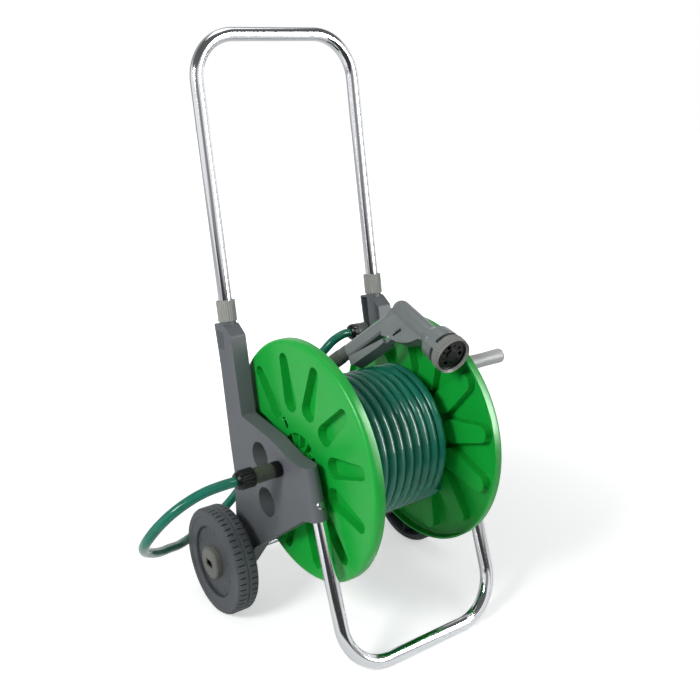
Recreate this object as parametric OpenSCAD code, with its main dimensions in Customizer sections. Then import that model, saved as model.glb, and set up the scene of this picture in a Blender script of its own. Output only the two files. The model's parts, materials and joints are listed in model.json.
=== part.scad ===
// Garden hose reel cart.
// X runs along the reel's axis, the front stand is at -Y and the handle leans back to +Y.
// Lengths are in millimetres. Places in Y are counted from the wheel axle and places in X from
// the middle of the reel; the last step moves the whole cart to the middle of its footprint.

/* [Side panels] */
// Clear width between the two side panels
panel_gap = 272; // [270:1:290]
// Depth of a side panel from its open inner edge to its closed outer face
panel_w = 27; // [27:0.5:34]
// Thickness of the closed outer face
panel_skin = 2.2; // [1.8:0.1:3]
// Thickness of the wall round the panel's edge
panel_rim = 2.6; // [2:0.1:3.5]
// Thickness of the stiffening ribs inside the panel
panel_rib = 2; // [1.5:0.1:3]
// Depth of the stiffening ribs
panel_rib_h = 15; // [8:1:18]
// Diameter of the upper lightening hole
hole_up_d = 48; // [30:1:52]
// Diameter of the lower lightening hole
hole_low_d = 50; // [30:1:54]
// Height of the parking lug at the rear edge of the arm
lug_z = 423; // [410:1:430]
// Diameter of the parking lug
lug_d = 14.4; // [12:0.2:16]
// Length of the parking lug past the panel's inner edge
lug_reach = 20; // [10:1:22]

/* [Handle] */
// Full height of the cart with the handle pulled out
handle_h = 947; // [900:1:980]
// Width between the centre lines of the handle's legs
handle_w = 299; // [298:0.5:300]
// Diameter of the handle and stand tubes
tube_d = 22; // [20:0.5:22.2]
// Wall of the handle and stand tubes
tube_wall = 1.2; // [0.8:0.1:2]
// Centre-line radius of the handle's top bends
handle_bend = 72; // [50:1:90]
// Lean of the handle behind the vertical, in degrees
handle_lean = 9.75; // [9.5:0.05:10]
// Distance of the handle's line in front of the axle, at the axle's height
handle_foot = 22.4; // [21.5:0.1:23.5]
// Length of leg that stays inside the arm when the handle is pulled out
handle_hold = 92; // [70:1:120]
// Diameter of a locking collar
collar_d = 31; // [30:0.5:34]
// Height of a locking collar
collar_h = 34; // [30:1:40]
// Ribs round a locking collar
collar_ribs = 26; // [18:1:32]
// Height of the collar's foot along the handle's line
collar_s = 405.8; // [404:0.2:408]

/* [Front stand] */
// Lean of the stand's legs behind the vertical, in degrees
stand_lean = 19.3; // [19:0.1:19.6]
// Distance of the stand's ground bar in front of the axle
stand_reach = 293.7; // [292:0.5:295]
// Centre-line radius of the stand's lower bends
stand_bend = 75; // [50:1:90]
// Wall of the round sleeve that holds a stand leg
sleeve_wall = 2.4; // [2:0.1:2.5]
// Diameter of the stand screw's head
screw_head_d = 13.5; // [10:0.5:15]
// Height of the stand screw above the ground
screw_z = 263.5; // [258:0.5:268]

/* [Wheels] */
// Wheel diameter
wheel_d = 184; // [170:1:190]
// Wheel width
wheel_w = 38.5; // [30:0.5:40]
// Gap between a panel's outer face and its wheel
wheel_gap = 24; // [20:0.5:30]
// Diameter of the recessed disc on the wheel's outer side
wheel_disc_d = 123; // [100:1:130]
// Diameter of the hub cap
cap_d = 55; // [46:1:60]
// How far the hub cap stands out of the wheel
cap_out = 6; // [4:0.5:10]
// Notches round each shoulder of the tread
tread_n = 54; // [24:1:60]
// Axle rod diameter
axle_d = 10; // [8:0.5:12]

/* [Reel] */
// Height of the reel's axis above the ground
reel_h = 297; // [296:0.5:300]
// Distance of the reel's axis in front of the axle
reel_fwd = 125.3; // [124:0.5:127]
// Flange diameter
flange_d = 392.6; // [380:1:394]
// Gap between a panel's inner edge and the flange's outer face
flange_gap = 11; // [9:0.5:13]
// Flange plate thickness
flange_t = 3; // [2:0.1:3.5]
// How far the flange's rim rolls in towards the hose
rim_roll = 17; // [12:0.5:18]
// Pockets in each flange
pocket_n = 12; // [6:1:12]
// Width of a pocket at its inner end
pocket_w = 34; // [24:0.5:35]
// Width of a pocket at its outer end
pocket_tip_w = 23; // [18:0.5:30]
// Depth of a pocket
pocket_t = 15; // [8:0.5:16]
// Radius at a pocket's inner end
pocket_in = 80; // [78:1:90]
// Radius at a pocket's outer end
pocket_out = 175; // [150:1:178]
// Diameter of the ribbed opening round the hub
eye_d = 94; // [80:1:100]
// Depth of the floor behind the ribs of that opening
eye_t = 12; // [8:0.5:13]
// Diameter of the hub
hub_d = 48; // [46:1:54]
// Outer diameter of the drum
drum_d = 148; // [140:1:152]
// Drum wall
drum_wall = 3; // [2:0.1:4]

/* [Hose] */
// Outside diameter of the hose
hose_d = 16; // [15:0.5:16.5]
// Bore of the hose
hose_bore = 12; // [10:0.5:12.5]
// Turns in the outer layer
wind_turns = 10.25; // [6:0.25:10.25]
// Axial pitch of the outer layer
wind_pitch = 16.6; // [16:0.05:17]
// Outer diameter of the wound hose
wind_d = 239; // [230:1:240]

/* [Crank] */
// Distance from the reel's axis to the knob's axis
crank_r = 119.4; // [100:0.5:121]
// Lean of the crank in front of the vertical at rest, in degrees
crank_turn = 21.3; // [0:0.1:45]
// Gap between the right panel's face and the crank arm
crank_gap = 5; // [4:0.5:7]
// Thickness of the crank arm
crank_t = 13; // [10:0.5:14]
// Knob diameter
knob_d = 25.4; // [22:0.2:27]
// Knob length
knob_l = 78; // [60:1:90]

/* [Spray gun] */
// Diameter of the barrel
barrel_d = 31; // [29:0.5:32]
// Distance from the barrel's joint with the grip to the front of the pattern ring
barrel_l = 142; // [140:1:150]
// Diameter of the pattern ring
dial_d = 61; // [58:0.5:63]
// Width of the pattern ring
dial_w = 18; // [15:1:20]
// Ribs round the pattern ring
dial_ribs = 40; // [24:1:48]
// Length of the grip
grip_l = 124.5; // [120:0.5:126]
// Diameter of the grip's rounded back
grip_d = 24; // [22:0.5:25]

/* [Hidden] */
$fn = 64;
run = 0.06;
fit = 0.1;
soft = 0.3;
tiny = 0.01;

// Places that follow from the sizes
panel_in = panel_gap / 2;
panel_out = panel_in + panel_w;
skin_in = panel_out - panel_skin;
tube_r = tube_d / 2;
leg_x = handle_w / 2;
sleeve_r = tube_r + fit + sleeve_wall;
axle_z = wheel_d / 2;
wheel_in = panel_out + wheel_gap;
wheel_out = wheel_in + wheel_w;
cap_x = wheel_out + cap_out;
flange_x = panel_in - flange_gap;
flange_r = flange_d / 2;
reel_c = [0, -reel_fwd, reel_h];
wind_r = wind_d / 2 - hose_d / 2;
wind_half = wind_turns * wind_pitch / 2;
arm_x = panel_out + crank_gap;
knob_x = arm_x + crank_t + 1;
knob_tip = knob_x + knob_l;
bar_z = handle_h - tube_r;
bar_s = (bar_z - axle_z) / cos(handle_lean);
bar_y = bar_s * sin(handle_lean) - handle_foot;
stand_s = 300;
org_x = -(knob_tip - cap_x) / 2;
front = max(stand_reach + tube_r, reel_fwd + flange_r);
org_y = -((bar_y + tube_r) - front) / 2;
lug_y = handle_y(lug_z) + 18.5;
shaft_r = 9;

// Parked tap connector
tap_c = [0, lug_y, lug_z];
tap_body_x = panel_in - 23;
tap_end = tap_body_x - 13;

// Spray gun: its place on the winding, and the angle between the grip and the barrel's square
gun_rise = 89.2;
gun_joint = [86, 8.1 - reel_fwd, reel_h + wind_d / 2 + gun_rise];
gun_roll = -29.8;
gun_dip = 16.3;
gun_yaw = -94.3;
grip_turn = 24.5;
barrel_r = barrel_d / 2;
dial_r = dial_d / 2;
dial_x = barrel_l - dial_w;
drum_r = 23.5;
face_r = dial_r - 4.5;

steel = "#C9CCD0";
grey = "#585B61";
black = "#1E1F22";
green = "#35B84F";
light = "#9A9C98";
gun_grey = "#8C9191";
hose_green = "#0B6650";

// Small helpers
function unit(v) = v / norm(v);
function left_of(d) = [-d[1], d[0]];

// Rounds every corner [y, z, radius] of an outline with a short arc
function corner_arc(a, b, c, r) =
    let (u = unit([a[0] - b[0], a[1] - b[1]]), v = unit([c[0] - b[0], c[1] - b[1]]))
    let (half = acos(min(1, max(-1, u * v))) / 2, back = r / tan(half))
    let (m = unit(u + v), o = [b[0], b[1]] + m * r / sin(half))
    let (p = [b[0], b[1]] + u * back - o, q = [b[0], b[1]] + v * back - o)
    let (pa = atan2(p[1], p[0]), qa = atan2(q[1], q[0]))
    let (turn = (qa - pa > 180) ? qa - pa - 360 : (qa - pa < -180) ? qa - pa + 360 : qa - pa)
    [for (i = [0:5]) o + r * [cos(pa + turn * i / 5), sin(pa + turn * i / 5)]];
function rounded(c) = [for (i = [0:len(c) - 1])
    each (c[i][2] > 0
        ? corner_arc(c[(i + len(c) - 1) % len(c)], c[i], c[(i + 1) % len(c)], c[i][2])
        : [[c[i][0], c[i][1]]])];

// Moves every edge of an outline inwards, for outlines that run anticlockwise
function cross_at(p, d, q, e) = p + d * ((q - p) * left_of(e)) / (d * left_of(e));
function inset(c, t) = [for (i = [0:len(c) - 1])
    let (a = c[(i + len(c) - 1) % len(c)], b = c[i], n = c[(i + 1) % len(c)])
    let (d = unit([b[0] - a[0], b[1] - a[1]]), e = unit([n[0] - b[0], n[1] - b[1]]))
    let (p = [b[0], b[1]] + left_of(d) * t, q = [b[0], b[1]] + left_of(e) * t)
    let (x = cross_at(p, d, q, e), turn = sign(d[0] * e[1] - d[1] * e[0]))
    [x[0], x[1], b[2] > 0 ? max(0.5, b[2] - turn * t) : 0]];

// Extrudes a [y, z] outline along X from x0 to x1
module slab(x0, x1, pts) {
    translate([x0, 0, 0])
        rotate([90, 0, 90])
            linear_extrude(x1 - x0)
                polygon(pts);
}

// Cylinder along X
module rod_x(x0, x1, r, y = 0, z = 0) {
    translate([x0, y, z])
        rotate([0, 90, 0])
            cylinder(r = r, h = x1 - x0);
}

// Ring along X
module ring_x(x0, x1, r, hole, y = 0, z = 0) {
    difference() {
        rod_x(x0, x1, r, y, z);
        rod_x(x0 - 1, x1 + 1, hole, y, z);
    }
}

// Tube swept through points, one ring at each point
function tangents(p) = [for (i = [0:len(p) - 1]) unit(p[min(i + 1, len(p) - 1)] - p[max(i - 1, 0)])];
function side_of(u, t) = unit(u - (u * t) * t);
function carry(t, i, u) = i == len(t) ? [] : let (w = side_of(u, t[i])) concat([w], carry(t, i + 1, w));
module swept(p, r, sides, start = [0, 0, 1]) {
    t = tangents(p);
    u = carry(t, 0, start);
    n = len(p);
    pts = [for (i = [0:n - 1]) let (v = cross(t[i], u[i]))
        for (k = [0:sides - 1]) p[i] + r * (cos(360 * k / sides) * u[i] + sin(360 * k / sides) * v)];
    walls = [for (i = [0:n - 2]) for (k = [0:sides - 1])
        let (a = i * sides + k, b = i * sides + (k + 1) % sides)
        each [[a, a + sides, b + sides], [a, b + sides, b]]];
    polyhedron(points = pts, faces = concat(walls,
        [[for (k = [0:sides - 1]) k]],
        [[for (k = [sides - 1:-1:0]) (n - 1) * sides + k]]), convexity = 10);
}

// U of tube: the cross bar at s = 0 along X, the legs up along Z to s = leg
module u_solid(w, bend, leg, r) {
    rod_x(-(w / 2 - bend), w / 2 - bend, r);
    for (m = [0, 1])
        mirror([m, 0, 0]) {
            translate([w / 2 - bend, 0, bend])
                rotate([90, 0, 0])
                    rotate_extrude(angle = -90)
                        translate([bend, 0])
                            circle(r = r);
            translate([w / 2, 0, bend])
                cylinder(r = r, h = leg - bend);
        }
}

module u_tube(w, bend, leg) {
    difference() {
        u_solid(w, bend, leg, tube_r);
        u_solid(w, bend, leg + 1, tube_r - tube_wall);
    }
}

// Puts children on the handle's line: +Z up along the line from the axle's height
module on_handle_line(s = 0) {
    translate([0, -handle_foot, axle_z])
        rotate([-handle_lean, 0, 0])
            translate([0, 0, s])
                children();
}

// Puts children on the stand's line: +Z up along the legs from the ground bar
module on_stand_line(s = 0) {
    translate([0, -stand_reach, tube_r])
        rotate([-stand_lean, 0, 0])
            translate([0, 0, s])
                children();
}

// Polygon of a ribbed grip
function ribbed(r, n, deep) = [for (i = [0:4 * n - 1])
    let (a = 360 * i / (4 * n), k = (i % 4 < 2) ? r : r - deep)
    k * [cos(a), sin(a)]];

// Side panels, drawn for the right-hand side
column_top = 322;
column_low = 241;
function stand_y(z) = -stand_reach + (z - tube_r) * tan(stand_lean);
function handle_y(z) = -handle_foot + (z - axle_z) * tan(handle_lean);
column_s = (column_low - tube_r) / cos(stand_lean);
column_r = panel_out - leg_x + 0.15;
leg_low = axle_z - 44;
panel_corners = [
    [19, leg_low, 9],
    [25, leg_low + 14, 6],
    [24, axle_z + 95, 20],
    [23, axle_z + 142, 20],
    [handle_y(286.5) + 22, 286.5, 0],
    [handle_y(412.6) + 20, 412.6, 0],
    [handle_y(484.3) + 23.8, 484.3, 2],
    [handle_y(489) - 10.6, 489, 5],
    [handle_y(474) - 29.6, 475, 6],
    [-10.3, 346, 3],
    [-98, 337, 40],
    [stand_y(column_top) + 30, column_top, 0],
    [stand_y(column_top), column_top, 0],
    [stand_y(column_low), column_low, 0],
    [stand_y(column_low) + 24, column_low - 24 * tan(stand_lean), 3],
    [-38.8, 117, 5],
    [3, leg_low + 14.6, 12]];
hole_up = [-65.8, 295];
hole_low = [-81.8, 220];
bush_r = 22;
stub_r = 19;
boss_r = bush_r + fit + 3;
axle_boss_r = 15;
sleeve_low = collar_s - 150;
neck_rise = 14;
cap_rise = 3.5;
neck_s = collar_s + neck_rise;

// Ribs between named places of the panel, each [from, to]
panel_ribs = [
    [[reel_c[1], reel_c[2]], [-30, 326]],
    [[reel_c[1], reel_c[2]], hole_low],
    [[reel_c[1], reel_c[2]], [-150, 322]],
    [[reel_c[1], reel_c[2]], [-190, 262]],
    [[reel_c[1], reel_c[2]], [-140, 180]],
    [hole_up, hole_low],
    [hole_up, [-8, 280]],
    [hole_up, [-70, 338]],
    [hole_low, [-14, 215]],
    [hole_low, [-38, 140]],
    [[0, axle_z], [-14, 165]],
    [[-44, 130], [26, 165]],
    [[-16, 250], [30, 250]],
    [[-14, 316], [42, 306]],
    [[-2, 382], [54, 372]],
    [[6, 438], [62, 428]]];

module rib(a, b) {
    d = [b[0] - a[0], b[1] - a[1]];
    translate([skin_in - panel_rib_h, a[0], a[1]])
        rotate([atan2(d[1], d[0]), 0, 0])
            translate([0, 0, -panel_rib / 2])
                cube([panel_rib_h + 1, norm(d), panel_rib]);
}

module panel() {
    outer = rounded(panel_corners);
    inner = rounded(inset(panel_corners, panel_rim));
    difference() {
        union() {
            difference() {
                slab(panel_in, panel_out, outer);
                difference() {
                    slab(panel_in - 1, skin_in, inner);
                    for (r = panel_ribs)
                        rib(r[0], r[1]);
                    rod_x(panel_in - 2, panel_out, hole_up_d / 2 + panel_rim, hole_up[0], hole_up[1]);
                    rod_x(panel_in - 2, panel_out, hole_low_d / 2 + panel_rim, hole_low[0], hole_low[1]);
                    rod_x(panel_in - 2, panel_out, boss_r, reel_c[1], reel_c[2]);
                }
            }
            rod_x(panel_in, panel_out, axle_boss_r, 0, axle_z);
            translate([leg_x, 0, 0])
                on_handle_line(sleeve_low)
                    cylinder(r = sleeve_r - soft, h = neck_s - sleeve_low);
            difference() {
                translate([leg_x, 0, 0])
                    on_stand_line(column_s - 0.8)
                        cylinder(r = column_r, h = stand_s - column_s + 60);
                translate([0, -stand_reach - 50, column_top])
                    cube([400, 400, 200]);
            }
            rod_x(panel_in - lug_reach, skin_in + tiny, lug_d / 2, lug_y, lug_z);
        }
        translate([leg_x, 0, 0]) {
            on_handle_line(60)
                cylinder(r = tube_r + fit, h = 500);
            on_stand_line(0)
                cylinder(r = tube_r + fit, h = stand_s + soft);
        }
        rod_x(panel_in - 1, panel_out + 1, hole_up_d / 2, hole_up[0], hole_up[1]);
        rod_x(panel_in - 1, panel_out + 1, hole_low_d / 2, hole_low[0], hole_low[1]);
        rod_x(panel_in - 1, skin_in, bush_r + fit, reel_c[1], reel_c[2]);
        rod_x(panel_in - 1, panel_out + 1, shaft_r + soft, reel_c[1], reel_c[2]);
        rod_x(panel_in - 1, panel_out + 1, axle_d / 2 + fit, 0, axle_z);
        groove();
        grip_slots();
        translate([leg_x, 0, 0])
            stand_screw_place()
                cylinder(r = 2.6, h = column_r + 5);
    }
}

// Shallow line on the outer face behind the stand sleeve
groove_t = 2.4;
groove_w = 3.6;
module groove() {
    a = [stand_y(column_top) + 14.5, column_top + 1];
    b = [stand_y(column_low) + 7, column_low - 4];
    d = b - a;
    translate([panel_out - groove_t, a[0], a[1]])
        rotate([atan2(d[1], d[0]), 0, 0])
            translate([0, 0, -groove_w / 2])
                cube([2, norm(d), groove_w]);
}

// Fine upright slots on the outer face at the rear top of the arm
module grip_slots() {
    for (i = [0:4])
        translate([panel_out - 0.8, handle_y(446) - 2 + 4.4 * i, 446])
            rotate([-handle_lean, 0, 0])
                cube([2, 1.6, 30]);
}

// Screw axis: square to the stand leg, entering from the front
module stand_screw_place() {
    on_stand_line((screw_z - tube_r) / cos(stand_lean))
        rotate([90, 0, 0])
            children();
}

module right_panel() {
    color(grey)
        panel();
}

module left_panel() {
    color(grey)
        mirror([1, 0, 0])
            panel();
}

// Frame metalwork
module handle_tube() {
    color(steel)
        on_handle_line(bar_s)
            mirror([0, 0, 1])
                u_tube(handle_w, handle_bend, bar_s - collar_s + handle_hold);
}

module stand_tube() {
    color(steel)
        difference() {
            on_stand_line(0)
                u_tube(handle_w, stand_bend, stand_s);
            for (s = [-1, 1])
                translate([s * leg_x, 0, 0])
                    stand_screw_place()
                        cylinder(r = 2.6, h = 40);
        }
}

module stand_screws() {
    color(steel)
        for (s = [-1, 1])
            translate([s * leg_x, 0, 0])
                stand_screw_place() {
                    translate([0, 0, tube_r - 5])
                        cylinder(r = 2.5, h = sleeve_wall + 6);
                    translate([0, 0, column_r])
                        difference() {
                            intersection() {
                                cylinder(r = screw_head_d / 2, h = 4);
                                translate([0, 0, -4.5])
                                    sphere(r = 8);
                            }
                            for (a = [0, 90])
                                rotate([0, 0, a])
                                    translate([-2.6, -0.6, 2])
                                        cube([5.2, 1.2, 3]);
                        }
                }
}

module collar() {
    difference() {
        linear_extrude(collar_h)
            polygon(ribbed(collar_d / 2, collar_ribs, 0.7));
        translate([0, 0, -1])
            cylinder(r = sleeve_r, h = collar_h - 2);
        translate([0, 0, -1])
            cylinder(r = tube_r + soft, h = collar_h + 2);
    }
}

module left_collar() {
    color(light)
        translate([-leg_x, 0, 0])
            on_handle_line(collar_s + soft)
                collar();
}

module right_collar() {
    color(light)
        translate([leg_x, 0, 0])
            on_handle_line(collar_s + soft)
                collar();
}

// Split clamping rings inside the collars
module collets() {
    color(black)
        for (s = [-1, 1])
            translate([s * leg_x, 0, 0])
                on_handle_line(neck_s)
                    difference() {
                        cylinder(r = sleeve_r - soft, h = collar_h - neck_rise - cap_rise);
                        translate([0, 0, -1])
                            cylinder(r = tube_r + run, h = collar_h);
                        translate([0, -1, -1])
                            cube([collar_d, 2, collar_h]);
                    }
}

module axle() {
    color(steel)
        rod_x(-(wheel_out + 1), wheel_out + 1, axle_d / 2, 0, axle_z);
}

module axle_spacers() {
    color(grey)
        for (s = [-1, 1])
            ring_x(s > 0 ? panel_out : -(wheel_in - soft), s > 0 ? wheel_in - soft : -panel_out,
                axle_boss_r - 2, axle_d / 2 + fit, 0, axle_z);
}

module axle_push_nuts() {
    color(steel)
        for (s = [-1, 1])
            ring_x(s > 0 ? wheel_out - 3.6 : -(wheel_out - 2.4), s > 0 ? wheel_out - 2.4 : -(wheel_out - 3.6),
                axle_d / 2 + 4.5, axle_d / 2, 0, axle_z);
}

// Wheel round local Z, inner side at z = 0
disc_r = wheel_disc_d / 2;
disc_rise = 0.6 + fit;
cap_sunk = 5.6;
hub_r = 14;
notch_l = 14;
notch_w = 2.4;
notch_t = 2.6;
module wheel() {
    r = wheel_d / 2;
    w = wheel_w;
    difference() {
        union() {
            rotate_extrude()
                polygon([[r - 12, 0], [r - 4, 0], [r - 1.2, 3], [r, 6], [r, w / 2 - 1.2], [r - 1.4, w / 2 - 0.8],
                    [r - 1.4, w / 2 + 0.8], [r, w / 2 + 1.2], [r, w - 6], [r - 1.2, w - 3], [r - 4, w],
                    [r - 13, w], [r - 15, w - 1], [disc_r + 2, w - 1], [disc_r, w - 2], [disc_r, w - 7],
                    [hub_r, w - 5], [hub_r, w - 8], [disc_r + 2.6, w - 10], [disc_r + 2.6, w - 4], [r - 12, w - 4]]);
            rotate_extrude()
                polygon([[axle_d / 2 + run, 0], [hub_r, 0], [hub_r + 0.5, w - 5.1], [axle_d / 2 + run, w - 5.1]]);
            difference() {
                for (i = [0:9])
                    rotate([0, 0, 36 * i])
                        translate([0, -1.2, 4])
                            cube([r - 10, 2.4, w - 10]);
                translate([0, 0, -1])
                    cylinder(r = hub_r - 2, h = w);
            }
        }
        for (i = [0:tread_n - 1])
            rotate([0, 0, 360 * i / tread_n]) {
                translate([r - notch_t, -notch_w / 2, -1])
                    cube([2 * notch_t, notch_w, notch_l + 1]);
                rotate([0, 0, 180 / tread_n])
                    translate([r - notch_t, -notch_w / 2, w - notch_l])
                        cube([2 * notch_t, notch_w, notch_l + 1]);
            }
    }
}

module wheel_place(s) {
    mirror([s > 0 ? 0 : 1, 0, 0])
        translate([wheel_in, 0, axle_z])
            rotate([0, 90, 0])
                children();
}

module left_wheel() {
    color(grey)
        wheel_place(-1)
            wheel();
}

module right_wheel() {
    color(grey)
        wheel_place(1)
            wheel();
}

// Hub cap round local Z, its foot on the wheel's disc
module hub_cap() {
    h = cap_out + cap_sunk - disc_rise;
    difference() {
        rotate_extrude()
            polygon([[0, 0], [cap_d / 2, 0], [cap_d / 2, h - 3], [cap_d / 2 - 1, h - 1], [cap_d / 2 - 3, h], [0, h]]);
        translate([0, 0, -1])
            cylinder(r = cap_d / 2 - 6, h = h - 1);
        translate([-10, -6, 0])
            cube([20, 12, h + 1]);
    }
}

module cap_place() {
    translate([0, 0, wheel_w - cap_sunk + disc_rise])
        rotate([0, 0, 90])
            children();
}

module left_hub_cap() {
    color(light)
        wheel_place(-1)
            cap_place()
                hub_cap();
}

module right_hub_cap() {
    color(light)
        wheel_place(1)
            cap_place()
                hub_cap();
}

// Reel bearings
module bearing_bushes() {
    color(black)
        for (s = [-1, 1])
            ring_x(s > 0 ? panel_in : -skin_in + soft, s > 0 ? skin_in - soft : -panel_in, bush_r, stub_r + run,
                reel_c[1], reel_c[2]);
}

washer_t = 1.5;
module thrust_washers() {
    color(black)
        for (s = [-1, 1])
            ring_x(s > 0 ? panel_in - washer_t - fit : -panel_in + fit, s > 0 ? panel_in - fit : -(panel_in - washer_t - fit),
                bush_r, stub_r + soft, reel_c[1], reel_c[2]);
}

// Flange round local Z; z = 0 is its outer face and +z points to the hose
roll_w = 8;
roll_h = 7;
roll_r = flange_r - roll_w;
module pocket(grow, deep) {
    r = pocket_w / 2 + grow;
    tip_r = pocket_tip_w / 2 + grow;
    a = pocket_in + pocket_w / 2;
    b = pocket_out - pocket_tip_w / 2;
    slope = (r - tip_r) / (b - a);
    rise = sqrt(1 - slope * slope);
    translate([0, 0, -1])
        linear_extrude(deep + 1) {
            translate([a, 0])
                circle(r = r);
            translate([b, 0])
                circle(r = tip_r);
            polygon([[a + r * slope, r * rise], [b + tip_r * slope, tip_r * rise],
                [b + tip_r * slope, -tip_r * rise], [a + r * slope, -r * rise]]);
        }
}

module flange() {
    t = flange_t;
    out_roll = [for (i = [0:6]) [roll_r + roll_w * sin(15 * i), roll_h - roll_h * cos(15 * i)]];
    in_roll = [for (i = [6:-1:0]) [roll_r + (roll_w - t) * sin(15 * i), roll_h - (roll_h - t) * cos(15 * i)]];
    difference() {
        union() {
            rotate_extrude()
                polygon(concat([[eye_d / 2, 0]], out_roll, [[flange_r, rim_roll], [flange_r - t, rim_roll]],
                    in_roll, [[eye_d / 2, t]]));
            intersection() {
                for (i = [0:pocket_n - 1])
                    rotate([0, 0, 360 * (i + 0.5) / pocket_n])
                        pocket(2.6, pocket_t + t);
                translate([0, 0, 0.5])
                    cylinder(r = flange_r, h = 60);
            }
            cylinder(r = hub_d / 2, h = eye_t);
            difference() {
                cylinder(r = eye_d / 2 + eye_wall, h = eye_t);
                translate([0, 0, -1])
                    cylinder(r = eye_d / 2, h = eye_t + 1 - eye_wall);
            }
            for (i = [0:11])
                rotate([0, 0, 30 * i])
                    translate([hub_d / 2 - 2, -eye_rib / 2, 0])
                        cube([eye_d / 2 - hub_d / 2 + 4, eye_rib, eye_t]);
        }
        for (i = [0:pocket_n - 1])
            rotate([0, 0, 360 * (i + 0.5) / pocket_n])
                pocket(0, pocket_t);
        for (a = tongue_turns)
            rotate([0, 0, a])
                translate([window_in, -tongue_w / 2 - 0.5, -1])
                    cube([drum_d / 2 + 2.5 - window_in, tongue_w + 1, 40]);
        translate([0, 0, -1])
            cylinder(r = shaft_r + fit, h = 40);
    }
    difference() {
        union() {
            translate([0, 0, -(flange_gap - washer_t - 2 * fit)])
                cylinder(r = hub_d / 2 - 1, h = flange_gap - washer_t - 2 * fit + tiny);
            translate([0, 0, -(skin_in - flange_x - soft)])
                cylinder(r = stub_r, h = skin_in - flange_x - soft);
        }
        translate([0, 0, -60])
            cylinder(r = shaft_r + fit, h = 100);
        translate([0, 0, -(skin_in - flange_x) + 3])
            cylinder(r = stub_r - 3.5, h = skin_in - flange_x - 6);
    }
}
tongue_turns = [38, 218];
tongue_w = 8;
window_in = 58;
eye_wall = 2.5;
eye_rib = 1.8;

module reel_side(s) {
    mirror([s > 0 ? 0 : 1, 0, 0])
        translate([flange_x, reel_c[1], reel_c[2]])
            rotate([0, -90, 0])
                children();
}

module left_flange() {
    color(green)
        reel_side(-1)
            flange();
}

module right_flange() {
    color(green)
        reel_side(1)
            flange();
}

module drum_core() {
    core_x = flange_x - flange_t - 3 * fit;
    color(green)
        translate(reel_c)
            difference() {
                union() {
                    rod_x(-core_x, core_x, drum_d / 2);
                    for (s = [0, 1])
                        mirror([s, 0, 0])
                            for (a = tongue_turns)
                                rotate([-a, 0, 0])
                                    translate([core_x - 1, -tongue_w / 2, drum_d / 2 - drum_wall])
                                        cube([flange_t + 1, tongue_w, drum_wall - 0.5]);
                }
                rod_x(-core_x - 1, core_x + 1, drum_d / 2 - drum_wall);
                rotate([elbow_turn, 0, 0])
                    translate([elbow_x, 0, 0])
                        cylinder(r = hose_d / 2 + soft, h = drum_d);
            }
}

// Wound hose: only the outer layer is a tube, over plain inner layers
ring_n = 24;
inner_r = (wind_r - hose_d / 2) * cos(180 / ring_n) - soft;
module hose_inner_layers() {
    color(hose_green)
        translate(reel_c)
            difference() {
                rod_x(-wind_half - hose_d / 2, wind_half + hose_d / 2, inner_r);
                rod_x(-200, 200, drum_d / 2 + soft);
            }
}

// The outer layer starts at the right and ends at the left, where the lead takes over
end_deg = -52;
wind_steps = round(wind_turns * ring_n);
function wind_deg(i) = end_deg - 360 * (wind_steps - i) / ring_n;
function wind_at(i) = [-wind_half + wind_pitch * (wind_steps - i) / ring_n,
    reel_c[1] + wind_r * cos(wind_deg(i)), reel_c[2] + wind_r * sin(wind_deg(i))];
function wind_dir(i) = [0, -sin(wind_deg(i)), cos(wind_deg(i))];
wind_path = concat([wind_at(0) - hose_d * wind_dir(0)], [for (i = [0:wind_steps]) wind_at(i)],
    [wind_at(wind_steps) + hose_d * wind_dir(wind_steps)]);
function wind_ring(i) = let (d = wind_deg(i), o = [0, cos(d), sin(d)])
    [for (k = [0:5]) wind_at(i) + hose_d / 2 * (cos(60 * k) * o + sin(60 * k) * [1, 0, 0])];
wind_gaps = [for (i = [0:wind_steps - ring_n - 1]) for (j = [ring_n - 1:ring_n + 1])
    if (i + j <= wind_steps) for (p = wind_ring(i)) for (q = wind_ring(i + j)) norm(p - q)];
echo(least_gap_between_turns = min(wind_gaps));

module wound_hose() {
    color(hose_green)
        swept(wind_path, hose_d / 2, 6, [0, cos(wind_deg(0)), sin(wind_deg(0))]);
}

// From the winding's end up to the gun's connector
lead_end_s = grip_l + 45.5;
lead_path = concat([wind_path[wind_steps + 2]], [
    [-85, -21, 237],
    [-84, 1, 256],
    [-77, 21, 286],
    [-60, 33, 319],
    [-34, 35, 349],
    [-9, 24, 370]],
    [gun_at(lead_end_s + 16), gun_at(lead_end_s)]);

module hose_lead() {
    color(hose_green)
        swept(lead_path, hose_d / 2, 8);
}

// Water way: a barrel along the reel's axis and a branch to the inner layers
elbow_x = -96;
elbow_turn = 30;
spigot_r = 8;
spigot_x = panel_out + 33;
module water_elbow() {
    color(light)
        translate(reel_c)
            difference() {
                union() {
                    rod_x(-panel_out - 1.5, elbow_x + shaft_r, shaft_r);
                    rod_x(-spigot_x, -panel_out, spigot_r);
                    rotate([elbow_turn, 0, 0])
                        translate([elbow_x, 0, 0])
                            cylinder(r = hose_bore / 2 + 1, h = drum_d / 2 - 12);
                }
                rod_x(-spigot_x - 1, elbow_x + 4, 4.5);
                rotate([elbow_turn, 0, 0])
                    translate([elbow_x, 0, 0])
                        cylinder(r = 4.5, h = drum_d);
            }
}

// Short end of the wound hose that comes through the drum's wall onto the elbow
module inner_tail() {
    color(hose_green)
        translate(reel_c)
            rotate([elbow_turn, 0, 0])
                translate([elbow_x, 0, shaft_r + 6])
                    difference() {
                        cylinder(r = hose_d / 2, h = drum_d / 2 - shaft_r - 6);
                        translate([0, 0, -1])
                            cylinder(r = hose_bore / 2 + 1 + run, h = drum_d);
                    }
}

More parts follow.
